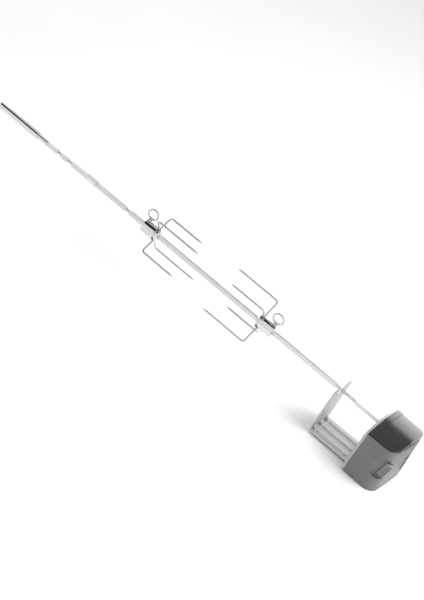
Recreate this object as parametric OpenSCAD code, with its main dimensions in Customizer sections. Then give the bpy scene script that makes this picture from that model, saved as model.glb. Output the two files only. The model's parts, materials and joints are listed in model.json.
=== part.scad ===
// Rotisserie spit roaster: motor housing, support bracket, square spit bar and two meat forks.
// Units are millimetres, +Z is up. The X axis is the spit axis, and the origin is where it
// passes the outer face of the steel back plate. The motor is on +X, the handle on -X.

/* [Spit bar] */
// Across-flats size of the square bar
bar_w = 8; // [7.6:0.1:8.2]
// Diameter of the turned necks and of the tang inside the handle
neck_d = 6.5; // [5.5:0.1:7]
// How far the bar goes into the drive socket, from the back plate
bar_engagement = 20; // [14:1:21]
// Distance from the back plate to the free end of the handle
spit_reach = 1002; // [990:1:1040]
// Length of each narrow neck
neck_len = 11; // [8:1:14]
// Distance from the back plate to the near end of the long neck
long_neck_from_plate = 59; // [54:1:64]
// Length of the long neck beside the bracket
long_neck_len = 49; // [44:1:52]

/* [Handle] */
// Outside diameter of the handle tube
handle_d = 16; // [15:0.5:18]
// Length of the handle tube
handle_len = 107; // [90:1:115]
// Wall of the handle tube
handle_wall = 1.2; // [1:0.1:1.4]
// Diameter of the ferrule between handle and bar
ferrule_d = 11.6; // [11:0.1:12.4]
// Exposed length of the ferrule
ferrule_len = 26; // [20:1:30]

/* [Stop collar] */
// Across-flats size of the hexagonal stop collar
collar_af = 12.6; // [12:0.1:14]
// Length of the stop collar
collar_len = 27; // [22:1:30]
// Distance from the back plate to the near end of the stop collar
collar_from_plate = 733; // [720:1:745]

/* [Meat forks] */
// Distance from the back plate to the prong plane of the outer fork
outer_fork_from_plate = 570.4; // [560:0.2:580]
// Distance from the back plate to the prong plane of the inner fork
inner_fork_from_plate = 298; // [290:0.2:306]
// Outside diameter of a fork hub
hub_d = 28.5; // [26:0.5:30]
// Hub length behind the prong plane
hub_back = 33; // [30:0.2:34]
// Hub length in front of the prong plane
hub_nose = 6.4; // [5:0.2:8]
// Side of the square hole through a hub
hub_bore_w = 9; // [8.6:0.1:9.4]
// Diameter of the prong wire
wire_d = 4.4; // [4:0.1:4.8]
// Length of the long arm of each prong wire, from the virtual corner of its V
long_arm = 42.9; // [40:0.1:46]
// Length of the short arm of each prong wire
short_arm = 34.6; // [32:0.1:37]
// Reach of the prongs on the long arms
long_prong = 104; // [90:0.2:110]
// Reach of the prongs on the short arms
short_prong = 82.6; // [70:0.2:90]

/* [Bracket] */
// Sheet thickness of the bracket
sheet_t = 2; // [1.8:0.1:2.2]
// Distance from the back plate to the near face of the upright arm
arm_from_plate = 94; // [88:1:100]
// Half width of the bracket base
base_half_w = 42; // [41:0.5:45]
// Half width of the upright arm at its prongs
arm_top_half_w = 40; // [38:0.5:40.5]
// Height of the prong tops above the spit axis
arm_above_axis = 10; // [8:0.5:12]
// Depth from the spit axis to the underside of the base
axis_to_base = 88.5; // [86:0.5:90]
// Radius at the bottom of the spit notch
notch_r = 11; // [9:0.5:12]

/* [Motor housing] */
// Half depth of the housing
house_half_d = 69; // [67:0.5:70]
// Depth from the spit axis to the bottom of the housing
axis_to_bottom = 92; // [91:0.5:93]
// Height of the joint between body and top cover above the spit axis
split_h = 2; // [1.5:0.5:2.5]
// Distance from the back plate to the end face, half way up
house_len = 77; // [76:0.5:78]
// Wall thickness of the plastic shells
wall = 2.5; // [2.3:0.1:2.7]
// Depth of the folded rim of the back plate
plate_rim = 5; // [4.5:0.5:5]
// Radius of the round switch dish
dish_r = 23; // [22:0.5:23.5]

/* [Hidden] */
$fn = 64;
eps = 0.5;
root2 = sqrt(2);

// Spit bar stations along X
handle_x0 = -spit_reach;
handle_x1 = handle_x0 + handle_len;
ferrule_x1 = handle_x1 + ferrule_len;
first_square_len = 28;
second_square_len = 18;
neck1_x = ferrule_x1 + first_square_len;
neck2_x = neck1_x + neck_len + second_square_len;
neck3_x = -652;
neck3_len = 9.5;
long_neck_x = -long_neck_from_plate - long_neck_len;
handle_cap_t = 3;
spigot_len = 14;
set_screw_r = 2;
fit_gap = 0.02;

// Fork and screw
outer_fork_x = -outer_fork_from_plate;
inner_fork_x = -inner_fork_from_plate;
wire_r = wire_d / 2;
elbow_r = 6;
vee_corner_z = 11.4;
vee_r = 3;
groove_r = vee_corner_z + vee_r * (root2 - 1) - wire_r;
groove_half_w = wire_r + 0.15;
prong_tip_len = 9;
screw_x = -26.6;
screw_r = 2.9;
screw_hole_r = 2.98;
screw_tip_z = bar_w / 2 + 0.05;
eye_z = 29.6;
eye_r = 9.2;
eye_straight = 4.4;
eye_wire_r = 2.1;

// Bracket
arm_x = -arm_from_plate;
fold_r = 3;
base_top = -axis_to_base + sheet_t;
flange_top = -63.5;
notch_z = -3;
notch_flare = 13;
arm_corner_r = 8;
bead_pitch = 28;
bead_len = 66;
bead_x0 = -80;
bead_r = 5;
bead_sink = 2.6;
dart_r = 2.4;
dart_leg = 6;
flange_hole_y = [-30, -10, 10, 30];
flange_hole_z = -71;
m5_r = 2.5;
m5_hole_r = 2.7;

// Housing
face_t = 1.2;
tilt = 3;
lean_z = -45;
dome_y = 14;
dome_z = -249.3;
dome_r = 264.7;
band_lift = 2;
band_x = 16.5;
front_corner_r = 28;
rear_corner_r = 30;
end_bulge_r = 840;
end_bulge_y = 45;
// Keeps three curves from meeting in one point
curve_gap = 0.04;
front_corner_back = curve_gap + end_bulge_r
    - sqrt(pow(end_bulge_r, 2) - pow(house_half_d - front_corner_r + end_bulge_y, 2));
foot_r = 7;
end_foot_r = 10;
rear_shoulder_r = 12;
shoulder_top = curve_gap + dome_z
    + sqrt(pow(dome_r, 2) - pow(house_half_d - rear_shoulder_r - dome_y, 2));
cover_inset = 0.6;
cover_end_back = 2;
cover_round = 9;
lip_t = 1.6;
lip_h = 4;
lip_top = 2;
house_screw_yz = [[-58, -76], [58, -76], [-58, -12], [58, -12]];
house_screw_r = 1.9;
boss_r = 4.5;

// Switch dish: the flat floor faces the front corner
dish_turn = 32;
dish_x = 61;
dish_y = -57.6;
dish_z = -39.5;
switch_roll = 12;
dish_floor_t = 2.5;
rocker_w = 16;
rocker_h = 29;
rocker_shift = 6.3;
rocker_gap = 0.7;
rocker_side_gap = 2.6;
rocker_end_gap = 3;
window_r = 21.2;
axle_depth = 4.2;
axle_r = 1.2;
case_margin = 2.6;
case_depth = 15;
case_end_x = house_len - 10.4;

// Power inlet on the rear side
inlet_x = 23;
inlet_z = -42;
inlet_w = 20;
inlet_h = 31;

// Blank badge on the end face
badge_t = 0.8;
badge_y = 25;
badge_w = 10;
badge_z0 = -62;
badge_z1 = -30;

// Gear train: 28:10 at module 0.8, then twice 48:10 at module 0.5
coarse = 0.8;
fine = 0.5;
output_teeth = 28;
wheel_teeth = 48;
pinion_teeth = 10;
pressure = 20;
second_yz = [0, -(output_teeth + pinion_teeth) * coarse / 2];
fine_gap = (wheel_teeth + pinion_teeth) * fine / 2;
first_yz = [second_yz[0] + fine_gap / root2, second_yz[1] - fine_gap / root2];
rotor_yz = [first_yz[0] - fine_gap / root2, first_yz[1] - fine_gap / root2];
frame_x0 = 14;
frame_x1 = 33;
frame_t = 1.5;
frame_half_w = 28;
frame_top = 10;
frame_bottom = -66;
pin_r = 1;
running = 0.03;
socket_r = 7;
socket_len = 22.8;
stub_r = 2;
stub_end = 35;
output_x = 17;
output_w = 5;
second_x = 24;
second_w = 3;
second_pinion_x = 16.2;
first_x = 28.5;
first_w = 3;
first_pinion_x = 23.5;
hub_end_x = 32.6;
second_hub_r = 1.8;
first_hub_r = 1.8;
rotor_pinion_x = 28;
rotor_pinion_w = 4;
core_x = 38;
core_len = 11;
core_r = 15;
bearing_r = 4;
bush_r = 10;
bush_len = 9;
can_r = 28;
can_len = 19.5;
shaft_r = 1.5;
post_yz = [[-23, 4], [23, 4], [-23, -60], [23, -60]];
post_r = 3;
lead_r = 0.9;
lead_bend = 3;
lead_start_y = -16;
// Where the leads reach the back of the switch case
lead_end_y = -38;

// ---------- helpers ----------

// Draws a 2D shape given as (Y, Z) and extends it along +X
module along_x(x, len) {
    translate([x, 0, 0]) rotate([90, 0, 90]) linear_extrude(len) children();
}

// Draws a 2D shape given as (X, Z) and extends it along Y, centred on y = 0
module along_y(half_w) {
    translate([0, half_w, 0]) rotate([90, 0, 0]) linear_extrude(2 * half_w) children();
}

module rod_x(x0, x1, r) {
    translate([x0, 0, 0]) rotate([0, 90, 0]) cylinder(r = r, h = x1 - x0);
}

module square_x(x0, x1, w) {
    translate([x0, -w / 2, -w / 2]) cube([x1 - x0, w, w]);
}

module at_yz(p) {
    translate([0, p[0], p[1]]) children();
}

module rounded_rect(y0, y1, z0, z1, r) {
    translate([y0 + r, z0]) square([y1 - y0 - 2 * r, z1 - z0]);
    translate([y0, z0 + r]) square([y1 - y0, z1 - z0 - 2 * r]);
    for (y = [y0 + r, y1 - r], z = [z0 + r, z1 - r]) translate([y, z]) circle(r = r);
}

// A quarter ring in the plane, from angle a to a + 90
module quarter_ring(inner, outer, a) {
    rotate(a) intersection() {
        difference() {
            circle(r = outer);
            circle(r = inner);
        }
        square(outer + 1);
    }
}

// ---------- spit bar ----------

module spit_bar() {
    color("silver") {
        rod_x(handle_x1 - spigot_len, bar_engagement - 2, neck_d / 2);
        square_x(ferrule_x1, neck1_x, bar_w);
        square_x(neck1_x + neck_len, neck2_x, bar_w);
        square_x(neck2_x + neck_len, neck3_x, bar_w);
        square_x(neck3_x + neck3_len, long_neck_x, bar_w);
        square_x(-long_neck_from_plate, bar_engagement, bar_w);
    }
}

module handle_tube() {
    bore_r = handle_d / 2 - handle_wall;
    color("gainsboro") difference() {
        rotate([0, 90, 0]) rotate_extrude() polygon([
            [0, handle_x0], [handle_d / 2 - 1.5, handle_x0], [handle_d / 2, handle_x0 + 1.5],
            [handle_d / 2, handle_x1 - 0.6], [handle_d / 2 - 0.6, handle_x1], [0, handle_x1]
        ]);
        rod_x(handle_x0 + handle_cap_t, handle_x1 + eps, bore_r);
    }
}

module handle_ferrule() {
    spigot_r = handle_d / 2 - handle_wall - fit_gap;
    color("lightgray") difference() {
        union() {
            rod_x(handle_x1 - spigot_len, handle_x1 - 0.4, spigot_r);
            rod_x(handle_x1 - 1, ferrule_x1 - 0.05, ferrule_d / 2);
        }
        rod_x(handle_x1 - spigot_len - eps, ferrule_x1 + eps, neck_d / 2 + fit_gap);
    }
}

module stop_collar() {
    x0 = -collar_from_plate - collar_len;
    color("lightgray") difference() {
        translate([x0, 0, 0]) rotate([0, 90, 0])
            cylinder(r = collar_af / 2 / cos(30), h = collar_len, $fn = 6);
        square_x(x0 - eps, x0 + collar_len + eps, bar_w + 2 * fit_gap);
        translate([x0 + collar_len / 2, 0, -collar_af])
            cylinder(r = set_screw_r + fit_gap, h = collar_af);
    }
}

module collar_set_screw() {
    top = -bar_w / 2 - fit_gap;
    color("dimgray") translate([-collar_from_plate - collar_len / 2, 0, -collar_af / 2 + 0.2])
        difference() {
            cylinder(r = set_screw_r, h = top + collar_af / 2 - 0.2);
            translate([0, 0, -eps]) cylinder(r = 1.1, h = 1.2 + eps, $fn = 6);
        }
}

// ---------- meat forks, drawn with the prong plane at x = 0 and the prongs toward +x ----------

module place_outer() {
    translate([outer_fork_x, 0, 0]) children();
}

module place_inner() {
    translate([inner_fork_x, 0, 0]) rotate([0, 0, 180]) children();
}

module fork_hub() {
    r = hub_d / 2;
    difference() {
        rotate([0, 90, 0]) rotate_extrude() polygon([
            [0, -hub_back], [r - 1.5, -hub_back], [r, -hub_back + 1.5], [r, -groove_half_w],
            [groove_r, -groove_half_w], [groove_r, groove_half_w], [r, groove_half_w],
            [r, hub_nose - 1.5], [r - 1.5, hub_nose], [0, hub_nose]
        ]);
        square_x(-hub_back - eps, hub_nose + eps, hub_bore_w);
        translate([screw_x, 0, 0]) cylinder(r = screw_hole_r, h = r + 1);
    }
}

// One arm of the V with its elbow and pointed prong
module prong(arm, reach) {
    translate([0, 0, vee_r]) cylinder(r = wire_r, h = arm - vee_r - elbow_r);
    translate([elbow_r, 0, arm - elbow_r]) rotate([90, 0, 0]) rotate([0, 0, 90])
        rotate_extrude(angle = 90) translate([elbow_r, 0]) circle(r = wire_r);
    translate([elbow_r, 0, arm]) rotate([0, 90, 0])
        cylinder(r = wire_r, h = reach - elbow_r - prong_tip_len);
    translate([reach - prong_tip_len, 0, arm]) rotate([0, 90, 0])
        cylinder(r1 = wire_r, r2 = 0.4, h = prong_tip_len);
}

// A V of wire standing on its rounded corner
module vee_wire() {
    translate([0, 0, vee_corner_z]) rotate([45, 0, 0]) {
        prong(long_arm, long_prong);
        rotate([-90, 0, 0]) prong(short_arm, short_prong);
        translate([0, vee_r, vee_r]) rotate([90, 0, 90]) rotate([0, 0, 180])
            rotate_extrude(angle = 90) translate([vee_r, 0]) circle(r = wire_r);
    }
}

module fork_prongs() {
    for (turn = [0, 180]) rotate([turn, 0, 0]) vee_wire();
}

module eye_screw() {
    translate([screw_x, 0, 0]) {
        translate([0, 0, screw_tip_z]) cylinder(r = screw_r, h = 18 - screw_tip_z);
        translate([0, 0, 17]) cylinder(r = 2.2, h = eye_z - eye_r - 17);
        translate([0, 0, hub_d / 2 + 1.6]) cylinder(r = 4.6, h = 1.6);
        for (side = [-1, 1]) {
            translate([side * eye_straight / 2, 0, eye_z]) rotate([90, 0, 0])
                rotate([0, 0, side > 0 ? -90 : 90]) rotate_extrude(angle = 180)
                    translate([eye_r, 0]) circle(r = eye_wire_r);
            translate([-eye_straight / 2, 0, eye_z + side * eye_r]) rotate([0, 90, 0])
                cylinder(r = eye_wire_r, h = eye_straight);
        }
    }
}

module outer_fork_hub() { color("whitesmoke") place_outer() fork_hub(); }
module outer_fork_prongs() { color("whitesmoke") place_outer() fork_prongs(); }
module outer_fork_screw() { color("whitesmoke") place_outer() eye_screw(); }
module inner_fork_hub() { color("whitesmoke") place_inner() fork_hub(); }
module inner_fork_prongs() { color("whitesmoke") place_inner() fork_prongs(); }
module inner_fork_screw() { color("whitesmoke") place_inner() eye_screw(); }

// ---------- bracket ----------

module arm_outline() {
    top = arm_above_axis;
    low = base_top + fold_r;
    difference() {
        union() {
            polygon([
                [-base_half_w, low], [base_half_w, low],
                [arm_top_half_w, top - arm_corner_r], [-arm_top_half_w, top - arm_corner_r]
            ]);
            translate([-arm_top_half_w + arm_corner_r, top - 2 * arm_corner_r])
                square([2 * (arm_top_half_w - arm_corner_r), 2 * arm_corner_r]);
            for (side = [-1, 1])
                translate([side * (arm_top_half_w - arm_corner_r), top - arm_corner_r])
                    circle(r = arm_corner_r);
        }
        translate([0, notch_z]) circle(r = notch_r);
        polygon([
            [-notch_r, notch_z], [notch_r, notch_z],
            [notch_flare, top + 1], [-notch_flare, top + 1]
        ]);
    }
}

module bent_profile() {
    fold_z = base_top + fold_r;
    outer_r = fold_r + sheet_t;
    translate([arm_x + fold_r, fold_z]) quarter_ring(fold_r, outer_r, 180);
    translate([arm_x + fold_r, base_top - sheet_t])
        square([arm_from_plate - 2 * fold_r - sheet_t, sheet_t]);
    translate([-outer_r, fold_z]) quarter_ring(fold_r, outer_r, 270);
    translate([-sheet_t, fold_z]) square([sheet_t, flange_top - fold_z]);
}

// A pressed bead along the base, round at both ends
module bead(r) {
    translate([bead_x0, 0, base_top - bead_sink]) {
        rotate([0, 90, 0]) cylinder(r = r, h = bead_len);
        sphere(r = r);
        translate([bead_len, 0, 0]) sphere(r = r);
    }
}

// A pressed stiffening dart across the fold
module dart() {
    intersection() {
        translate([arm_x + dart_leg, 0, base_top]) rotate([0, -45, 0]) translate([0, 0, -2])
            cylinder(r = dart_r, h = dart_leg * root2 + 4);
        translate([arm_x - sheet_t / 2, -dart_r, base_top - sheet_t / 2])
            cube([dart_leg + 4, 2 * dart_r, dart_leg + 4]);
    }
}

module bracket() {
    color("lightsteelblue") difference() {
        union() {
            along_x(arm_x - sheet_t, sheet_t) arm_outline();
            along_y(base_half_w) bent_profile();
            for (y = [-bead_pitch, 0, bead_pitch]) translate([0, y, 0]) {
                intersection() {
                    bead(bead_r);
                    translate([bead_x0 - 10, -10, base_top - sheet_t / 2])
                        cube([bead_len + 20, 20, 10]);
                }
                dart();
            }
        }
        for (y = [-bead_pitch, 0, bead_pitch]) translate([0, y, 0]) bead(bead_r - sheet_t);
        for (y = flange_hole_y) translate([0, y, flange_hole_z]) rod_x(-sheet_t - 1, 1, m5_hole_r);
    }
}

module bracket_screws() {
    color("silver") for (y = flange_hole_y) translate([0, y, flange_hole_z]) difference() {
        union() {
            rod_x(-sheet_t - 1, face_t + 5.5, m5_r);
            rod_x(-sheet_t - 3, -sheet_t, 4.6);
        }
        for (turn = [0, 90]) rotate([turn, 0, 0])
            translate([-sheet_t - 4, -3, -0.5]) cube([2.2, 6, 1]);
    }
}

module bracket_nuts() {
    color("silver") for (y = flange_hole_y) translate([0, y, flange_hole_z]) difference() {
        translate([face_t, 0, 0]) rotate([0, 90, 0])
            cylinder(r = 4 / cos(30), h = 4, $fn = 6);
        rod_x(face_t - 1, face_t + 5, m5_r + fit_gap);
    }
}

// ---------- motor housing ----------

// Outline of the housing across the spit: flat sides under a shallow dome, with a large
// radius at the top of the rear side
module section2d(inset, lift, bottom) {
    half = house_half_d - inset;
    shoulder = rear_shoulder_r - inset;
    shoulder_y = half - shoulder;
    shoulder_z = shoulder_top + lift - rear_shoulder_r;
    intersection() {
        rounded_rect(-half, half, -bottom + inset, 60, foot_r - inset);
        union() {
            translate([-half - 1, -bottom]) square([half + 1 + shoulder_y, bottom + 60]);
            translate([-half - 1, -bottom]) square([2 * half + 1, bottom + shoulder_z]);
            translate([shoulder_y, shoulder_z]) circle(r = shoulder);
        }
        translate([dome_y, dome_z + lift]) circle(r = dome_r - inset);
    }
}

// Outline of the housing from above: a large radius at the front corner, a small one at the
// rear corner and a slightly bowed end face
module plan2d(inset) {
    end = house_len - inset;
    half = house_half_d - inset;
    front = front_corner_r - inset;
    rear = rear_corner_r - inset;
    front_end = end - front_corner_back;
    intersection() {
        union() {
            translate([-20, -half]) square([20 + front_end - front, 2 * half]);
            translate([-20, -half]) square([20 + end - rear, half + 20]);
            translate([-20, -half + front]) square([20 + end, 2 * half - front - rear]);
            translate([-20, 0]) square([20 + end - rear, half]);
            translate([end - rear, half - rear]) circle(r = rear);
            translate([front_end - front, -half + front]) circle(r = front);
        }
        difference() {
            translate([-20, -half]) square([20 + end, 2 * half]);
            difference() {
                translate([front_end - front, -half - 1]) square([front + 40, front + 1]);
                translate([front_end - front, -half + front]) circle(r = front);
            }
        }
        translate([end - end_bulge_r, end_bulge_y]) circle(r = end_bulge_r);
    }
}

// The plan outline as a prism whose end face leans in toward the top
module leaning_prism(inset, z0, z1) {
    translate([house_len, 0, lean_z]) rotate([0, -tilt, 0])
        translate([-house_len, 0, z0 - lean_z])
        linear_extrude(z1 - z0) plan2d(inset);
}

module keep_box(x0, z0, z1) {
    translate([x0, -100, z0]) cube([120, 200, z1 - z0]);
}

// Outline of the body from the side: the bottom steps down behind the plate and is rounded
// up toward the end face
module side_profile(inset) {
    low = -axis_to_bottom + inset;
    foot_x = house_len + 2.4 - end_foot_r;
    polygon([
        [-6, -axis_to_base + inset], [plate_rim, -axis_to_base + inset],
        [band_x, low], [foot_x, low], [foot_x, 50], [-6, 50]
    ]);
    translate([foot_x - 1, low + end_foot_r - inset]) square([40, 50 - low - end_foot_r]);
    translate([foot_x, low + end_foot_r - inset]) circle(r = end_foot_r - inset);
}

module body_form(inset) {
    intersection() {
        leaning_prism(inset, -110, 40);
        along_x(-5, 110) section2d(inset, 0, axis_to_bottom);
        along_y(100) side_profile(inset);
    }
}

// Places children on the floor of the switch dish: local x runs along the floor,
// local -y points out of the dish
module at_dish() {
    translate([dish_x, dish_y, dish_z]) rotate([0, 0, dish_turn]) rotate([0, switch_roll, 0])
        children();
}

module dish_disc(r, depth0, depth1) {
    at_dish() translate([0, -depth0, 0]) rotate([90, 0, 0]) cylinder(r = r, h = depth1 - depth0);
}

// The opening round the rocker: tight on the inner side, wide and round on the outer side
module rocker_window(depth0, depth1) {
    x0 = rocker_shift - rocker_w / 2 - rocker_gap;
    half_h = rocker_h / 2 + rocker_end_gap;
    intersection() {
        at_dish() translate([x0, -depth1, -half_h])
            cube([rocker_w + rocker_gap + rocker_side_gap, depth1 - depth0, 2 * half_h]);
        dish_disc(window_r, depth0 - 1, depth1 + 1);
    }
}

// Places children on the rear side wall with local +x pointing out of the wall
module at_inlet() {
    translate([inlet_x, house_half_d, inlet_z]) rotate([0, 0, 90]) children();
}

module housing_body() {
    color("gray") difference() {
        union() {
            intersection() {
                difference() {
                    body_form(0);
                    body_form(wall);
                }
                keep_box(plate_rim + 0.05, -110, split_h);
            }
            intersection() {
                body_form(0);
                union() {
                    dish_disc(dish_r + wall, -dish_floor_t, 40);
                    for (p = house_screw_yz) at_yz(p) rod_x(plate_rim + 0.05, 40, boss_r);
                    for (p = house_screw_yz)
                        translate([plate_rim + 0.05, p[0] > 0 ? p[0] : -house_half_d, p[1] - 1.2])
                            cube([34, house_half_d - abs(p[0]), 2.4]);
                }
                keep_box(plate_rim + 0.05, -110, split_h - 6);
            }
        }
        dish_disc(dish_r, 0, 60);
        rocker_window(-10, 1);
        at_inlet() translate([-20, -inlet_w / 2 - 0.1, -inlet_h / 2 - 0.1])
            cube([40, inlet_w + 0.2, inlet_h + 0.2]);
        for (p = house_screw_yz) at_yz(p) rod_x(0, 22, house_screw_r + fit_gap);
    }
}

module cover_form(inset, lift) {
    top = dome_z + dome_r + lift;
    intersection() {
        leaning_prism(cover_inset + inset, -20, 60);
        along_x(-1, 110) section2d(cover_inset + inset, lift + cover_inset, axis_to_bottom);
        along_y(100) union() {
            translate([-6, -30]) square([6 + house_len - cover_end_back - cover_round, 90]);
            translate([-6, -30]) square([6 + house_len - cover_end_back - inset, 30 + top - cover_round]);
            translate([house_len - cover_end_back - cover_round, top - cover_round])
                circle(r = cover_round - inset);
        }
    }
}

module top_cover() {
    color([0.12, 0.12, 0.13]) union() {
        difference() {
            intersection() {
                union() {
                    cover_form(0, 0);
                    intersection() {
                        cover_form(0, band_lift);
                        translate([0, -100, -50]) cube([band_x, 200, 150]);
                    }
                }
                keep_box(plate_rim + 0.05, split_h + 0.05, 60);
            }
            cover_form(wall - cover_inset, 0);
        }
        intersection() {
            difference() {
                body_form(wall + 0.1);
                body_form(wall + 0.1 + lip_t);
            }
            keep_box(plate_rim + 0.05, split_h - lip_h, split_h + lip_top);
        }
        intersection() {
            difference() {
                body_form(wall - 0.8);
                body_form(wall + 0.1 + lip_t);
            }
            keep_box(plate_rim + 0.05, split_h + 0.6, split_h + lip_top);
        }
    }
}

module back_plate() {
    color("lightgray") difference() {
        along_x(0, plate_rim) section2d(0, band_lift, axis_to_base);
        along_x(face_t, plate_rim) section2d(face_t, band_lift, axis_to_base);
        rod_x(-1, 3, bush_r + fit_gap);
        for (p = house_screw_yz) at_yz(p) rod_x(-1, 3, 2.2);
        for (y = flange_hole_y) translate([0, y, flange_hole_z]) rod_x(-1, 3, m5_hole_r);
        for (p = post_yz) at_yz(p) rod_x(-1, 3, 1.6);
    }
}

module housing_screws() {
    color("silver") for (p = house_screw_yz) at_yz(p) difference() {
        union() {
            rod_x(-1, 20, house_screw_r);
            rod_x(-2.4, 0, 3.8);
        }
        for (turn = [0, 90]) rotate([turn, 0, 0]) translate([-3, -2.2, -0.4]) cube([1.8, 4.4, 0.8]);
    }
}

// A thin blank plate that lies on the bowed end face
module end_badge() {
    turn = asin((end_bulge_y - badge_y) / end_bulge_r);
    color([0.2, 0.2, 0.2]) translate([house_len, 0, lean_z]) rotate([0, -tilt, 0])
        translate([-end_bulge_r, end_bulge_y, badge_z0 - lean_z]) rotate([0, 0, -turn])
            translate([end_bulge_r + 0.02, -badge_w / 2, 0])
                cube([badge_t, badge_w, badge_z1 - badge_z0]);
}

// ---------- switch and inlet ----------

module switch_rocker() {
    color("darkgray") at_dish() translate([rocker_shift, 0, 0]) union() {
        intersection() {
            translate([-rocker_w / 2, -8, -rocker_h / 2]) cube([rocker_w, 12, rocker_h]);
            translate([0, 26, -rocker_h]) cylinder(r = 30, h = 2 * rocker_h);
            rotate([0, 90, 0]) translate([0, 40, -rocker_w]) cylinder(r = 45, h = 2 * rocker_w);
        }
        for (k = [-1 : 1]) intersection() {
            translate([k * 4.8 - 1.1, -9, -rocker_h / 2 + 1.5]) cube([2.2, 11, rocker_h - 3]);
            translate([0, 26, -rocker_h]) cylinder(r = 32.8, h = 2 * rocker_h);
        }
        translate([0, axle_depth, -rocker_h / 2 - 1.5]) cylinder(r = axle_r, h = rocker_h + 3);
    }
}

// The case stands behind the dish floor. It is cut short of the end wall of the housing
module switch_case() {
    half_w = rocker_w / 2 + case_margin;
    half_h = rocker_h / 2 + case_margin + 1.4;
    well_w = rocker_w + 2 * rocker_gap;
    well_h = rocker_h + 2 * rocker_gap;
    color([0.15, 0.15, 0.15]) intersection() {
        translate([0, -100, -100]) cube([case_end_x, 200, 200]);
        at_dish() translate([rocker_shift, 0, 0]) difference() {
            translate([-half_w, dish_floor_t + 0.05, -half_h])
                cube([2 * half_w, case_depth, 2 * half_h]);
            translate([-well_w / 2, 0, -well_h / 2]) cube([well_w, 8, well_h]);
            translate([0, axle_depth, -rocker_h / 2 - 1.7])
                cylinder(r = axle_r + running, h = rocker_h + 3.4);
            translate([-axle_r - running, 0, -rocker_h / 2 - 1.7])
                cube([2 * (axle_r + running), axle_depth, rocker_h + 3.4]);
        }
    }
}

module power_inlet() {
    color([0.1, 0.1, 0.1]) at_inlet() difference() {
        union() {
            translate([-15, -inlet_w / 2, -inlet_h / 2]) cube([15.5, inlet_w, inlet_h]);
            translate([0.05, -inlet_w / 2 - 1.5, -inlet_h / 2 - 1.5])
                cube([2, inlet_w + 3, inlet_h + 3]);
        }
        translate([-10, -inlet_w / 2 + 2.5, -inlet_h / 2 + 2.5])
            cube([20, inlet_w - 5, inlet_h - 5]);
        for (k = [-1, 0, 1]) translate([-16, k == 0 ? 2 : -2, k * 7]) rotate([0, 90, 0])
            cylinder(r = 1.25 + fit_gap, h = 8);
    }
}

module inlet_pins() {
    color("gold") at_inlet() for (k = [-1, 0, 1])
        translate([-18, k == 0 ? 2 : -2, k * 7]) rotate([0, 90, 0]) cylinder(r = 1.25, h = 16);
}

// ---------- gear motor ----------

function polar(r, a) = [r * cos(a), r * sin(a)];

// Angle that an involute has turned when it reaches radius r
function involute_angle(base_r, r) =
    r <= base_r ? 0 : sqrt(pow(r / base_r, 2) - 1) * 180 / PI - acos(base_r / r);

// Half the angle of a tooth at radius r
function tooth_half(m, teeth, r) =
    let (pitch_r = m * teeth / 2, base_r = pitch_r * cos(pressure), backlash = 0.05)
    90 / teeth - backlash / pitch_r * 90 / PI
        + involute_angle(base_r, pitch_r) - involute_angle(base_r, r);

module gear2d(m, teeth, phase) {
    pitch_r = m * teeth / 2;
    radii = [pitch_r - 1.25 * m, pitch_r * cos(pressure), pitch_r, pitch_r + 0.9 * m];
    root_r = min(radii[0], radii[1]);
    flank = [root_r, max(root_r + 0.05, radii[1]), radii[2], radii[3]];
    polygon([
        for (k = [0 : teeth - 1]) each [
            for (r = flank) polar(r, phase + k * 360 / teeth - tooth_half(m, teeth, r)),
            for (i = [len(flank) - 1 : -1 : 0])
                polar(flank[i], phase + k * 360 / teeth + tooth_half(m, teeth, flank[i]))
        ]
    ]);
}

// Phase that puts a gap between teeth in the given direction
function gap_toward(dir, teeth) = dir - 180 / teeth;

module front_bushing() {
    color("darkgoldenrod") difference() {
        union() {
            rod_x(0.2, bush_len, bush_r);
            rod_x(face_t + 0.05, face_t + 2.2, bush_r + 1.8);
        }
        rod_x(-1, bush_len + 1, socket_r + running);
    }
}

module rear_bushing() {
    color("darkgoldenrod") difference() {
        union() {
            rod_x(frame_x1 - 0.8, frame_x1 + frame_t + 0.6, bearing_r);
            rod_x(frame_x1 - 0.8, frame_x1, bearing_r + 1);
        }
        rod_x(frame_x1 - 2, frame_x1 + 4, stub_r + running);
    }
}

module drive_socket() {
    color("slategray") difference() {
        union() {
            rod_x(0.4, socket_len, socket_r);
            rod_x(socket_len - 1, stub_end, stub_r);
        }
        square_x(-1, bar_engagement + 0.6, bar_w + 0.24);
    }
}

module output_gear() {
    color("peru") along_x(output_x, output_w) difference() {
        gear2d(coarse, output_teeth, 0);
        circle(r = socket_r + fit_gap);
    }
}

module frame_plate2d() {
    rounded_rect(-frame_half_w, frame_half_w, frame_bottom, frame_top, 6);
}

module gear_frame() {
    color("lightgray") {
        along_x(frame_x0, frame_t) difference() {
            frame_plate2d();
            circle(r = socket_r + 0.5);
            for (p = [second_yz, first_yz]) translate(p) circle(r = pin_r + fit_gap);
            for (p = post_yz) translate(p) circle(r = 1.6);
        }
        along_x(frame_x1, frame_t) difference() {
            frame_plate2d();
            circle(r = bearing_r + fit_gap);
            for (p = [second_yz, first_yz]) translate(p) circle(r = pin_r + fit_gap);
            for (p = post_yz) translate(p) circle(r = 1.6);
            translate(rotor_yz) circle(r = bearing_r + fit_gap);
        }
    }
}

module gear_posts() {
    color("silver") for (p = post_yz) at_yz(p) {
        rod_x(face_t + 0.02, frame_x0 - 0.02, post_r);
        rod_x(frame_x0 + frame_t + 0.02, frame_x1 - 0.02, post_r);
        rod_x(-0.6, frame_x1 + frame_t + 0.6, 1.5);
        rod_x(-2.2, -0.02, 2.8);
        rod_x(frame_x1 + frame_t + 0.02, frame_x1 + frame_t + 1.8, 2.8);
    }
}

module gear_pins() {
    color("silver") for (p = [second_yz, first_yz])
        at_yz(p) rod_x(frame_x0 + 0.1, frame_x1 + frame_t - 0.1, pin_r);
}

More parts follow.
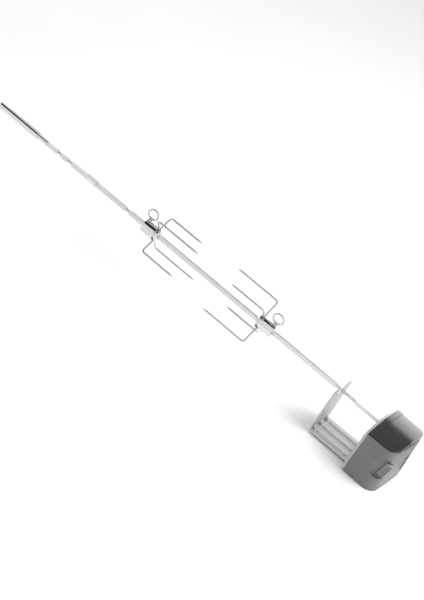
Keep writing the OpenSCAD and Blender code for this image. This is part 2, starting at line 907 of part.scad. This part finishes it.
module second_gear() {
    color("ivory") at_yz(second_yz) difference() {
        union() {
            along_x(second_pinion_x, second_x - second_pinion_x) gear2d(coarse, pinion_teeth, gap_toward(90, pinion_teeth));
            along_x(second_x, second_w) gear2d(fine, wheel_teeth, 0);
            rod_x(second_x + second_w - 0.1, hub_end_x, second_hub_r);
        }
        rod_x(10, 40, pin_r + running);
    }
}

module first_gear() {
    color("ivory") at_yz(first_yz) difference() {
        union() {
            rod_x(frame_x0 + frame_t + 0.4, first_pinion_x + 0.1, first_hub_r);
            along_x(first_pinion_x, first_x + 0.1 - first_pinion_x) gear2d(fine, pinion_teeth, gap_toward(135, pinion_teeth));
            along_x(first_x, first_w) gear2d(fine, wheel_teeth, 0);
            rod_x(first_x + first_w - 0.1, hub_end_x, first_hub_r + 0.2);
        }
        rod_x(10, 40, pin_r + running);
    }
}

module rotor() {
    color("dimgray") at_yz(rotor_yz) union() {
        rod_x(rotor_pinion_x - 1, frame_x1 + can_len - 0.3, shaft_r);
        along_x(rotor_pinion_x, rotor_pinion_w) gear2d(fine, pinion_teeth, gap_toward(45, pinion_teeth));
        rod_x(core_x, core_x + core_len, core_r);
    }
}

module rotor_bushings() {
    color("darkgoldenrod") at_yz(rotor_yz) {
        difference() {
            rod_x(frame_x1 - 0.4, frame_x1 + frame_t + 1, bearing_r);
            rod_x(frame_x1 - 2, frame_x1 + 5, shaft_r + running);
        }
        difference() {
            rod_x(frame_x1 + frame_t + can_len - 4.2, frame_x1 + frame_t + can_len - 1.25, bearing_r);
            rod_x(40, 60, shaft_r + running);
        }
    }
}

module stator_can() {
    x0 = frame_x1 + frame_t + 0.02;
    color("silver") at_yz(rotor_yz) difference() {
        rod_x(x0, x0 + can_len, can_r);
        rod_x(x0 - 1, x0 + can_len - 1.2, can_r - 1.2);
    }
}

module stator_coil() {
    x0 = frame_x1 + frame_t + 1.5;
    color("sienna") at_yz(rotor_yz) difference() {
        rod_x(x0, x0 + 14, can_r - 1.25);
        rod_x(x0 - 1, x0 + 15, core_r + 1);
    }
}

// A lead in a level plane: straight runs along the local +x, each followed by a square
// turn to the left (1) or to the right (-1)
module lead_run(lengths, turns, i = 0) {
    rotate([0, 90, 0]) cylinder(r = lead_r, h = lengths[i]);
    if (i < len(turns)) translate([lengths[i], 0, 0]) {
        translate([0, turns[i] * lead_bend, 0]) rotate([0, 0, turns[i] > 0 ? -90 : 0])
            rotate_extrude(angle = 90) translate([lead_bend, 0]) circle(r = lead_r);
        translate([lead_bend, turns[i] * lead_bend, 0]) rotate([0, 0, 90 * turns[i]])
            lead_run(lengths, turns, i + 1);
    }
}

module lead_wires() {
    can_end = frame_x1 + frame_t + can_len + 0.04;
    pin_end_y = house_half_d - 18.02;
    // The run beside the can lies 4 mm past its end
    run_x = can_end + 4;
    live_x = inlet_x + 2;
    to_run = run_x - live_x - 2 * lead_bend;
    first_y = pin_end_y - 2 - 2 * lead_bend;
    color("saddlebrown") {
        // Motor to switch
        translate([can_end, lead_start_y, -52]) lead_run([1, lead_start_y - lead_bend - lead_end_y], [-1]);
        // Inlet to switch
        translate([live_x, pin_end_y, inlet_z + 7]) rotate([0, 0, -90])
            lead_run([2, to_run, first_y - lead_end_y], [1, -1]);
        // Inlet to motor
        translate([live_x, pin_end_y, inlet_z - 7]) rotate([0, 0, -90])
            lead_run([2, to_run, first_y - 23, 1], [1, -1, -1]);
        // Inlet to the steel plate
        translate([inlet_x - 2, pin_end_y, inlet_z]) rotate([0, 0, -90])
            lead_run([2, inlet_x - 2 - lead_bend - face_t - 0.05], [-1]);
    }
}

spit_bar();
handle_tube();
handle_ferrule();
stop_collar();
collar_set_screw();
outer_fork_hub();
outer_fork_prongs();
outer_fork_screw();
inner_fork_hub();
inner_fork_prongs();
inner_fork_screw();
bracket();
bracket_screws();
bracket_nuts();
back_plate();
housing_screws();
housing_body();
top_cover();
switch_rocker();
switch_case();
power_inlet();
inlet_pins();
end_badge();
front_bushing();
rear_bushing();
drive_socket();
output_gear();
gear_frame();
gear_posts();
gear_pins();
second_gear();
first_gear();
rotor();
rotor_bushings();
stator_can();
stator_coil();
lead_wires();
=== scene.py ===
"""Looks for the rotisserie spit roaster: materials, rounded edges, light and camera around the CAD frame.

Units are metres in the part's own frame: X runs along the spit with the motor on +X,
+Z is up, and the origin is where the spit axis passes the outer face of the back plate.
"""
import json
import math

import bmesh
import bpy
from mathutils import Matrix, Vector


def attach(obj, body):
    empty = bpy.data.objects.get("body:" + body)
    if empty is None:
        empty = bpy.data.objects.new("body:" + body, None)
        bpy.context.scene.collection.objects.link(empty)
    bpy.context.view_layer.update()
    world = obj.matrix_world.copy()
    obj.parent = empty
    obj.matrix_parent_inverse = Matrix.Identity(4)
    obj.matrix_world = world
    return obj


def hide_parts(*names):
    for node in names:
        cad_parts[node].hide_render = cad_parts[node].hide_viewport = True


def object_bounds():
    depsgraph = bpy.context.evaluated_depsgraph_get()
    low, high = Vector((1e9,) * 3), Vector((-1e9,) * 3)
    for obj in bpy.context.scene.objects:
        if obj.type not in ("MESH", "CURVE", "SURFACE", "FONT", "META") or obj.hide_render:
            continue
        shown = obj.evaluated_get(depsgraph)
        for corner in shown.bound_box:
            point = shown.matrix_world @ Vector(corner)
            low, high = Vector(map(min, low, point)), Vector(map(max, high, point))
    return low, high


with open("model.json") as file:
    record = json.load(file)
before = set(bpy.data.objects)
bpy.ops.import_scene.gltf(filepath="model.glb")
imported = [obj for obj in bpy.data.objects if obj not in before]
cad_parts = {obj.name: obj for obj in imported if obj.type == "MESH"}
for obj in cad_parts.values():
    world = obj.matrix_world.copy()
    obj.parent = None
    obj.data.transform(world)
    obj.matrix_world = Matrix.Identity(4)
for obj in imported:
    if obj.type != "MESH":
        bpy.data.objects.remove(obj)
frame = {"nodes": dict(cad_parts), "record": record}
CAD_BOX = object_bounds()
NODES = frame["nodes"]
RECORD = frame["record"]
MM = 0.001
# How strongly edge wear shows where the bevel turns the normal away from the face
WEAR_GAIN = 6.0

# ---------------------------------------------------------------- node graph helpers


class Graph:
    """A node tree whose nodes are added by short calls."""

    def __init__(self, tree):
        self.tree = tree
        self.tree.nodes.clear()

    def add(self, kind):
        return self.tree.nodes.new(kind)

    def link(self, source, target):
        self.tree.links.new(source, target)

    def feed(self, socket, value):
        """Gives a socket a number, a colour or another node's output."""
        if isinstance(value, bpy.types.NodeSocket):
            self.link(value, socket)
        elif hasattr(value, "__len__"):
            socket.default_value = (*value, 1.0)
        else:
            socket.default_value = value

    def math(self, operation, a, b):
        node = self.add("ShaderNodeMath")
        node.operation = operation
        for socket, value in zip(node.inputs, (a, b)):
            self.feed(socket, value)
        return node.outputs[0]

    def ramp(self, value, stops):
        """Maps a number through (position, grey or colour) stops."""
        node = self.add("ShaderNodeValToRGB")
        elements = node.color_ramp.elements
        while len(elements) < len(stops):
            elements.new(0.5)
        for element, (position, colour) in zip(elements, stops):
            element.position = position
            colour = colour if hasattr(colour, "__len__") else (colour,) * 3
            element.color = (*colour, 1.0)
        self.link(value, node.inputs[0])
        return node.outputs[0]


class Shader(Graph):
    """A surface material drawn over the object's own coordinates."""

    def __init__(self, name):
        self.material = bpy.data.materials.new(name)
        self.material.use_nodes = True
        super().__init__(self.material.node_tree)
        self.bsdf = self.add("ShaderNodeBsdfPrincipled")
        self.link(self.bsdf.outputs[0], self.add("ShaderNodeOutputMaterial").inputs["Surface"])
        self.coords = self.add("ShaderNodeTexCoord").outputs["Object"]

    def put(self, name, value):
        self.feed(self.bsdf.inputs[name], value)

    def noise(self, scale, stretch=(1, 1, 1), detail=3.0, roughness=0.5, seed=0.0):
        """Noise with features about 1 / scale metres across, stretched per axis."""
        mapping = self.add("ShaderNodeMapping")
        mapping.inputs["Scale"].default_value = stretch
        mapping.inputs["Location"].default_value = (seed, seed * 0.7, seed * 1.3)
        self.link(self.coords, mapping.inputs["Vector"])
        node = self.add("ShaderNodeTexNoise")
        node.inputs["Scale"].default_value = scale
        node.inputs["Detail"].default_value = detail
        node.inputs["Roughness"].default_value = roughness
        self.link(mapping.outputs[0], node.inputs["Vector"])
        return node.outputs["Fac"]

    def range(self, value, low, high):
        """Spreads noise, which stays near one half, over low to high."""
        node = self.add("ShaderNodeMapRange")
        node.inputs["From Min"].default_value = 0.3
        node.inputs["From Max"].default_value = 0.7
        node.inputs["To Min"].default_value = low
        node.inputs["To Max"].default_value = high
        self.link(value, node.inputs["Value"])
        return node.outputs[0]

    def bump(self, height, depth):
        """Bump from a height field, with depth in metres."""
        node = self.add("ShaderNodeBump")
        node.inputs["Strength"].default_value = 1.0
        node.inputs["Distance"].default_value = depth
        self.link(height, node.inputs["Height"])
        self.link(node.outputs[0], self.bsdf.inputs["Normal"])

    def edge_wear(self, radius):
        """Rises above 0 within a radius of an edge, and is 0 elsewhere."""
        bevel = self.add("ShaderNodeBevel")
        bevel.inputs["Radius"].default_value = radius
        bevel.samples = 4
        geometry = self.add("ShaderNodeNewGeometry")
        dot = self.add("ShaderNodeVectorMath")
        dot.operation = "DOT_PRODUCT"
        self.link(bevel.outputs[0], dot.inputs[0])
        self.link(geometry.outputs["Normal"], dot.inputs[1])
        return self.math("MULTIPLY", self.math("SUBTRACT", 1.0, dot.outputs["Value"]), WEAR_GAIN)

    def mix(self, factor, a, b):
        node = self.add("ShaderNodeMix")
        node.data_type = "RGBA"
        live = {socket.name: socket for socket in node.inputs if socket.enabled}
        for name, value in (("Factor", factor), ("A", a), ("B", b)):
            self.feed(live[name], value)
        return next(socket for socket in node.outputs if socket.enabled)


def scaled(tint, gain, lift=0.0):
    """A lighter or darker tint."""
    return [min(1.0, channel * gain + lift) for channel in tint]


# ---------------------------------------------------------------- materials


def polished(name, tint, low, high, stretch):
    """Plated and polished steel: bright, with faint polishing lines and handling haze."""
    s = Shader(name)
    haze = s.noise(45, detail=2.0, seed=2.0)
    lines = s.noise(900, stretch=stretch, detail=4.0, roughness=0.7, seed=5.0)
    s.put("Metallic", 1.0)
    s.put("Base Color", s.ramp(haze, [(0.3, scaled(tint, 0.93)), (0.7, tint)]))
    s.put("Roughness", s.math("ADD", s.range(haze, low, high), s.range(lines, 0.0, 0.05)))
    s.bump(lines, depth=0.004 * MM)
    return s.material


def drawn_steel(name, tint, rough, stretch, streak=0.25):
    """Cold drawn or brushed steel with streaks along its length."""
    s = Shader(name)
    streaks = s.noise(700, stretch=stretch, detail=6.0, roughness=0.65, seed=1.0)
    cloud = s.noise(30, detail=3.0, seed=7.0)
    streaked = s.ramp(streaks, [(0.35, scaled(tint, 1 - streak)), (0.6, tint)])
    grain = s.range(streaks, rough - 0.06, rough + 0.06)
    s.put("Metallic", 1.0)
    s.put("Base Color", s.mix(s.range(cloud, 0.0, 0.35), streaked, tint))
    s.put("Roughness", s.math("ADD", grain, s.range(cloud, 0.0, 0.05)))
    s.bump(streaks, depth=0.02 * MM)
    return s.material


def sheet_metal(name, tint, rough):
    """Zinc plated sheet: faint spangle, fine rolling lines and brighter edges."""
    s = Shader(name)
    cells = s.add("ShaderNodeTexVoronoi")
    cells.inputs["Scale"].default_value = 260
    s.link(s.coords, cells.inputs["Vector"])
    to_grey = s.add("ShaderNodeRGBToBW")
    s.link(cells.outputs["Color"], to_grey.inputs[0])
    spangle = to_grey.outputs[0]
    rolling = s.noise(500, stretch=(0.06, 1, 1), detail=5.0, seed=3.0)
    bright = scaled(tint, 1.12)
    lined = s.mix(s.range(rolling, 0.2, 0.8), scaled(tint, 0.9), tint)
    base = s.mix(s.math("MULTIPLY", spangle, 0.25), lined, bright)
    grain = s.range(rolling, rough - 0.05, rough + 0.05)
    s.put("Metallic", 0.85)
    s.put("Base Color", s.mix(s.edge_wear(0.5 * MM), base, bright))
    s.put("Roughness", s.math("ADD", grain, s.math("MULTIPLY", spangle, 0.06)))
    s.bump(rolling, depth=0.01 * MM)
    return s.material


def moulded(name, tint, rough, grain_depth=0.03 * MM, coat=0.0, wear=0.15, specular=0.5):
    """Moulded plastic: fine spark-eroded grain, slight gloss patches, lighter worn edges."""
    s = Shader(name)
    fine = s.noise(1800, detail=2.0, roughness=0.6, seed=4.0)
    patch = s.noise(22, detail=2.0, seed=9.0)
    mottle = s.math("ADD", s.math("MULTIPLY", fine, 0.5), s.math("MULTIPLY", patch, 0.5))
    base = s.ramp(mottle, [(0.35, tint), (0.65, scaled(tint, 1.10, lift=0.004))])
    worn = scaled(tint, 1.6, lift=0.03)
    gloss = s.range(patch, rough - 0.04, rough + 0.04)
    s.put("Base Color", s.mix(s.math("MULTIPLY", s.edge_wear(0.6 * MM), wear), base, worn))
    s.put("Roughness", s.math("ADD", gloss, s.range(fine, -0.03, 0.03)))
    s.put("Specular IOR Level", specular)
    s.put("Coat Weight", coat)
    s.put("Coat Roughness", 0.08)
    s.bump(fine, depth=grain_depth)
    return s.material


def wound_wire(name, tint):
    """Enamelled copper winding: bands of wire round the coil, with painted shade darkening the grooves
    between the turns.
    """
    s = Shader(name)
    wave = s.add("ShaderNodeTexWave")
    wave.inputs["Scale"].default_value = 900
    wave.inputs["Distortion"].default_value = 0.6
    s.link(s.coords, wave.inputs["Vector"])
    turns = wave.outputs["Fac"]
    s.put("Metallic", 0.8)
    # The dark end of the ramp is painted shade in the grooves between the turns
    s.put("Base Color", s.ramp(turns, [(0.0, scaled(tint, 0.35)), (0.6, tint)]))
    s.put("Roughness", 0.3)
    s.bump(turns, depth=0.2 * MM)
    return s.material


# How a texture is stretched: drawn along the spit, wrapped round it, even, or in thin laminations
ALONG = (0.03, 1, 1)
ROUND = (1, 0.1, 0.1)
EVEN = (1, 1, 1)
LAMINATED = (8, 0.2, 0.2)
CHROME = (0.74, 0.745, 0.75)
DIM_CHROME = (0.60, 0.605, 0.61)

MATERIALS = {
    "chrome": polished("polished_chrome", CHROME, 0.05, 0.11, ROUND),
    "tube_chrome": polished("tube_chrome", CHROME, 0.04, 0.09, ALONG),
    "bar_steel": drawn_steel("drawn_bar", (0.66, 0.66, 0.655), 0.26, ALONG, streak=0.12),
    "sheet_steel": sheet_metal("zinc_sheet", (0.60, 0.605, 0.61), 0.56),
    "plate_steel": sheet_metal("plate_sheet", (0.58, 0.585, 0.59), 0.42),
    "fastener_steel": drawn_steel("zinc_fastener", (0.70, 0.70, 0.67), 0.32, ROUND),
    "dark_steel": drawn_steel("black_oxide", (0.10, 0.10, 0.11), 0.40, ROUND),
    "body_plastic": moulded("grey_shell", (0.152, 0.152, 0.155), 0.46),
    "cover_plastic": moulded("gloss_cover", (0.007, 0.007, 0.008), 0.24, grain_depth=0.006 * MM,
                             coat=0.3, wear=0.04),
    "rocker_plastic": moulded("rocker_grey", (0.24, 0.24, 0.25), 0.34, grain_depth=0.015 * MM),
    "black_plastic": moulded("black_satin", (0.022, 0.022, 0.024), 0.38, grain_depth=0.02 * MM),
    "bronze": drawn_steel("sintered_bronze", (0.50, 0.34, 0.15), 0.45, EVEN),
    "gear_plastic": moulded("natural_gear", (0.72, 0.69, 0.60), 0.36, grain_depth=0.01 * MM),
    "gear_brass": drawn_steel("cut_brass", (0.76, 0.60, 0.28), 0.28, ROUND),
    "core_steel": drawn_steel("laminated_core", (0.40, 0.40, 0.41), 0.40, LAMINATED),
    "copper": wound_wire("copper_winding", (0.70, 0.34, 0.16)),
    "lead_sleeve": moulded("lead_sleeve", (0.22, 0.10, 0.05), 0.42, grain_depth=0.01 * MM),
    "wire_chrome": polished("wire_chrome", DIM_CHROME, 0.08, 0.15, ROUND),
    # Black plastic made darker still and nearly without sheen: painted shade for the deep gaps round the
    # switch rocker
    "painted_shade_black": moulded("painted_shade_black", (0.006, 0.006, 0.006), 0.6, grain_depth=0.02 * MM, specular=0.15),
}
# Nodes whose finish differs from the rest of their material slot. The switch case is black plastic made
# darker still, nearly without sheen, as painted shade in the deep gaps round the rocker
NODE_LOOK = {
    "back_plate": "plate_steel", "handle_tube": "tube_chrome", "switch_case": "painted_shade_black",
    "outer_fork_prongs": "wire_chrome", "inner_fork_prongs": "wire_chrome",
    "outer_fork_screw": "wire_chrome", "inner_fork_screw": "wire_chrome",
}

SLOT_OF = {row["node"]: row["material_slot"] for row in RECORD["subparts"]}
BODY_OF = {node: body for body, nodes in RECORD["behaviour"]["bodies"].items() for node in nodes}


def look_of(node):
    return MATERIALS[NODE_LOOK.get(node, SLOT_OF[node])]


for node_name, node_object in NODES.items():
    node_object.data.materials.clear()
    node_object.data.materials.append(look_of(node_name))

# ---------------------------------------------------------------- rounded edges

WELD_GAP = 0.002 * MM
FLAT_ANGLE = math.radians(0.4)
CREASE_ANGLE = math.radians(32)
SMOOTH_ANGLE = math.radians(38)
EDGE_RADIUS = {
    "spit_bar": 0.45 * MM, "handle_tube": 0.3 * MM, "handle_ferrule": 0.4 * MM, "stop_collar": 0.4 * MM,
    "outer_fork_hub": 0.3 * MM, "inner_fork_hub": 0.3 * MM,
    "bracket": 0.35 * MM, "back_plate": 0.6 * MM, "housing_body": 0.7 * MM, "top_cover": 0.8 * MM,
    "switch_rocker": 0.5 * MM, "switch_case": 0.3 * MM, "power_inlet": 0.5 * MM, "end_badge": 0.25 * MM,
    "bracket_screws": 0.3 * MM, "housing_screws": 0.3 * MM,
}


def stand_in(name, mesh, node):
    """Turns a bmesh into a smooth shaded piece that stands for a CAD node and rides with its body."""
    bmesh.ops.recalc_face_normals(mesh, faces=mesh.faces)
    data = bpy.data.meshes.new(name)
    mesh.to_mesh(data)
    mesh.free()
    data.polygons.foreach_set("use_smooth", [True] * len(data.polygons))
    data.set_sharp_from_angle(angle=SMOOTH_ANGLE)
    piece = bpy.data.objects.new(name, data)
    bpy.context.scene.collection.objects.link(piece)
    data.materials.append(look_of(node))
    shading = piece.modifiers.new("even_shading", "WEIGHTED_NORMAL")
    shading.keep_sharp = True
    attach(piece, BODY_OF[node])
    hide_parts(node)


def soften(node, radius):
    """Rounds a CAD node's sharp edges to a radius, as a real casting, bend or turning has them."""
    mesh = bmesh.new()
    mesh.from_mesh(NODES[node].data)
    bmesh.ops.remove_doubles(mesh, verts=mesh.verts, dist=WELD_GAP)
    bmesh.ops.dissolve_limit(mesh, angle_limit=FLAT_ANGLE, verts=mesh.verts, edges=mesh.edges)
    sharp = [e for e in mesh.edges if e.is_manifold and e.calc_face_angle(0) > CREASE_ANGLE]
    bmesh.ops.bevel(mesh, geom=sharp, offset=radius, offset_type="OFFSET", segments=3,
                    profile=0.5, affect="EDGES", clamp_overlap=True)
    stand_in(node + "_rounded", mesh, node)


for node_name, edge_radius in EDGE_RADIUS.items():
    soften(node_name, edge_radius)

# ---------------------------------------------------------------- floor, light and camera

FLOOR_Z = CAD_BOX[0][2] - 0.5 * MM
FLOOR_SPAN = 30.0
# Levels of the cards over the part and of those on the floor
HIGH = 1.0
LOW = FLOOR_Z + 1 * MM
SKY_LIGHT = 0.80
CEILING_GAIN = 2.6
# Share of the sweep from the camera's side over the top to behind, and its brightness
CEILING_STOPS = [(0.0, 0.36), (0.45, 0.36), (0.70, 0.20), (0.855, 0.17), (0.885, 0.9), (0.99, 1.0)]
CAMERA_PLACE = (0.3932, -2.5862, 1.4173)
CAMERA_AZIMUTH = math.radians(17.13)
CAMERA_ELEVATION = math.radians(28.17)
CAMERA_ROLL = math.radians(31.86)
# Lens and sensor width in millimetres, as Blender's camera takes them
CAMERA_LENS = 95.09
CAMERA_SENSOR = 36.0


def stage_mesh(name, corners, faces, material):
    """Adds a mesh that is part of the studio and not of the object."""
    mesh = bpy.data.meshes.new(name)
    mesh.from_pydata(corners, [], faces)
    mesh.materials.append(material)
    piece = bpy.data.objects.new(name, mesh)
    bpy.context.scene.collection.objects.link(piece)
    return piece


def pale_floor():
    s = Shader("pale_floor")
    s.put("Base Color", s.ramp(s.noise(3.0, detail=1.0), [(0.3, 0.90), (0.7, 0.92)]))
    s.put("Roughness", 0.85)
    quadrants = ((-1, -1), (1, -1), (1, 1), (-1, 1))
    corners = [(x * FLOOR_SPAN, y * FLOOR_SPAN, FLOOR_Z) for x, y in quadrants]
    stage_mesh("floor", corners, [(0, 1, 2, 3)], s.material)


def softbox(name, place, target, size, watts):
    """A rectangular lamp that reflections do not see."""
    light = bpy.data.lights.new(name, "AREA")
    light.shape = "RECTANGLE"
    light.size, light.size_y = size
    light.energy = watts
    lamp = bpy.data.objects.new(name, light)
    lamp.location = place
    aim = Vector(target) - Vector(place)
    lamp.rotation_euler = aim.to_track_quat("-Z", "Y").to_euler()
    lamp.visible_glossy = False
    bpy.context.scene.collection.objects.link(lamp)


def studio_world():
    """A white studio. Reflections see a dimmer ceiling with a bright strip low down behind the part."""
    world = bpy.data.worlds.new("studio")
    bpy.context.scene.world = world
    world.use_nodes = True
    g = Graph(world.node_tree)
    split = g.add("ShaderNodeSeparateXYZ")
    g.link(g.add("ShaderNodeTexCoord").outputs["Generated"], split.inputs[0])
    # Angle over the part from the camera's side (0) through overhead (0.5) to behind (1)
    sweep = g.math("ARCTAN2", split.outputs["Z"], g.math("MULTIPLY", split.outputs["Y"], -1.0))
    ceiling_grey = g.ramp(g.math("DIVIDE", sweep, math.pi), CEILING_STOPS)
    choose = g.add("ShaderNodeMixShader")
    g.link(g.add("ShaderNodeLightPath").outputs["Is Glossy Ray"], choose.inputs[0])
    skies = (((1, 1, 1), SKY_LIGHT), (ceiling_grey, CEILING_GAIN))
    for socket, (colour, strength) in zip(choose.inputs[1:], skies):
        sky = g.add("ShaderNodeBackground")
        g.feed(sky.inputs[0], colour)
        g.feed(sky.inputs[1], strength)
        g.link(sky.outputs[0], socket)
    g.link(choose.outputs[0], g.add("ShaderNodeOutputWorld").inputs[0])


def ribbon(path, width, level):
    """Pairs of points either side of a level path."""
    points = [Vector((x, y, level)) for x, y in path]
    rows = []
    for i, here in enumerate(points):
        ahead = points[min(i + 1, len(points) - 1)] - points[max(i - 1, 0)]
        side = ahead.cross(Vector((0, 0, 1))).normalized() * width / 2
        rows.append((here - side, here + side))
    return rows


def reflection_card(name, rows, grey):
    """A card that only reflections see, drawn through pairs of points."""
    corners = [corner for row in rows for corner in row]
    faces = [(i, i + 1, i + 3, i + 2) for i in range(0, len(corners) - 2, 2)]
    material = bpy.data.materials.new(name)
    material.use_nodes = True
    g = Graph(material.node_tree)
    glow = g.add("ShaderNodeEmission")
    g.feed(glow.inputs[0], (grey, grey, grey))
    g.link(glow.outputs[0], g.add("ShaderNodeOutputMaterial").inputs["Surface"])
    card = stage_mesh(name, corners, faces, material)
    card.visible_camera = False
    card.visible_diffuse = False
    card.visible_shadow = False
    card.visible_transmission = False


def photo_camera():
    """The camera solved from the photograph's own straight edges."""
    level = Vector((math.cos(CAMERA_AZIMUTH), math.sin(CAMERA_AZIMUTH), 0))
    reach = math.cos(CAMERA_ELEVATION)
    forward = Vector((-level.y * reach, level.x * reach, -math.sin(CAMERA_ELEVATION)))
    lift = level.cross(forward)
    right = math.cos(CAMERA_ROLL) * level + math.sin(CAMERA_ROLL) * lift
    up = math.cos(CAMERA_ROLL) * lift - math.sin(CAMERA_ROLL) * level
    turn = Matrix((right, up, -forward)).transposed().to_4x4()
    data = bpy.data.cameras.new("photo_camera")
    data.sensor_width = CAMERA_SENSOR
    data.lens = CAMERA_LENS
    data.clip_end = 100
    camera = bpy.data.objects.new("photo_camera", data)
    camera.matrix_world = Matrix.Translation(CAMERA_PLACE) @ turn
    bpy.context.scene.collection.objects.link(camera)
    bpy.context.scene.camera = camera


pale_floor()
studio_world()
softbox("key", place=(1.35, 0.75, 1.5), target=(0.1, 0, 0), size=(2.4, 2.0), watts=60)
# Dark bands over the spit draw the dark lines along the handle and the hubs
HANDLE_BAND = [(-2.6, -1.15), (-1.36, -1.15)]
SPIT_BAND = [(-1.30, -0.93), (-0.865, -0.28), (-0.556, 0.05), (-0.3, 0.32)]
REAR_BAND = [(-1.3, 1.19), (0.5, 1.19)]
reflection_card("band_over_handle", ribbon(HANDLE_BAND, 1.7, HIGH), grey=0.01)
reflection_card("band_over_spit", ribbon(SPIT_BAND, 0.5, HIGH), grey=0.01)
reflection_card("band_behind_hub", ribbon(REAR_BAND, 0.34, HIGH), grey=0.02)
# A bright card lifts the top of the handle above its dark line
HANDLE_GLOW = [(-2.6, 1.0), (-1.50, 1.0)]
reflection_card("glow_behind_handle", ribbon(HANDLE_GLOW, 2.4, HIGH), grey=1.3)
# A bright wall behind the motor lights the top of its cover, and dim floor cards darken its sides
WALL_X = (-0.24, 0.6)
WALL_Y = 0.90
WALL_Z = (-0.09, 0.63)
WALL_ROWS = [tuple((x, WALL_Y, z) for x in WALL_X) for z in WALL_Z]
FLOOR_FRONT = [(-0.025, -0.34), (0.6, -0.34)]
FLOOR_SIDE = [(0.115, 0.20), (0.32, 0.20)]
reflection_card("wall_behind_motor", WALL_ROWS, grey=2.6)
reflection_card("floor_before_motor", ribbon(FLOOR_FRONT, 0.5, LOW), grey=0.42)
reflection_card("floor_beside_motor", ribbon(FLOOR_SIDE, 0.26, LOW), grey=0.40)
photo_camera()
bpy.context.scene.view_settings.view_transform = "Standard"
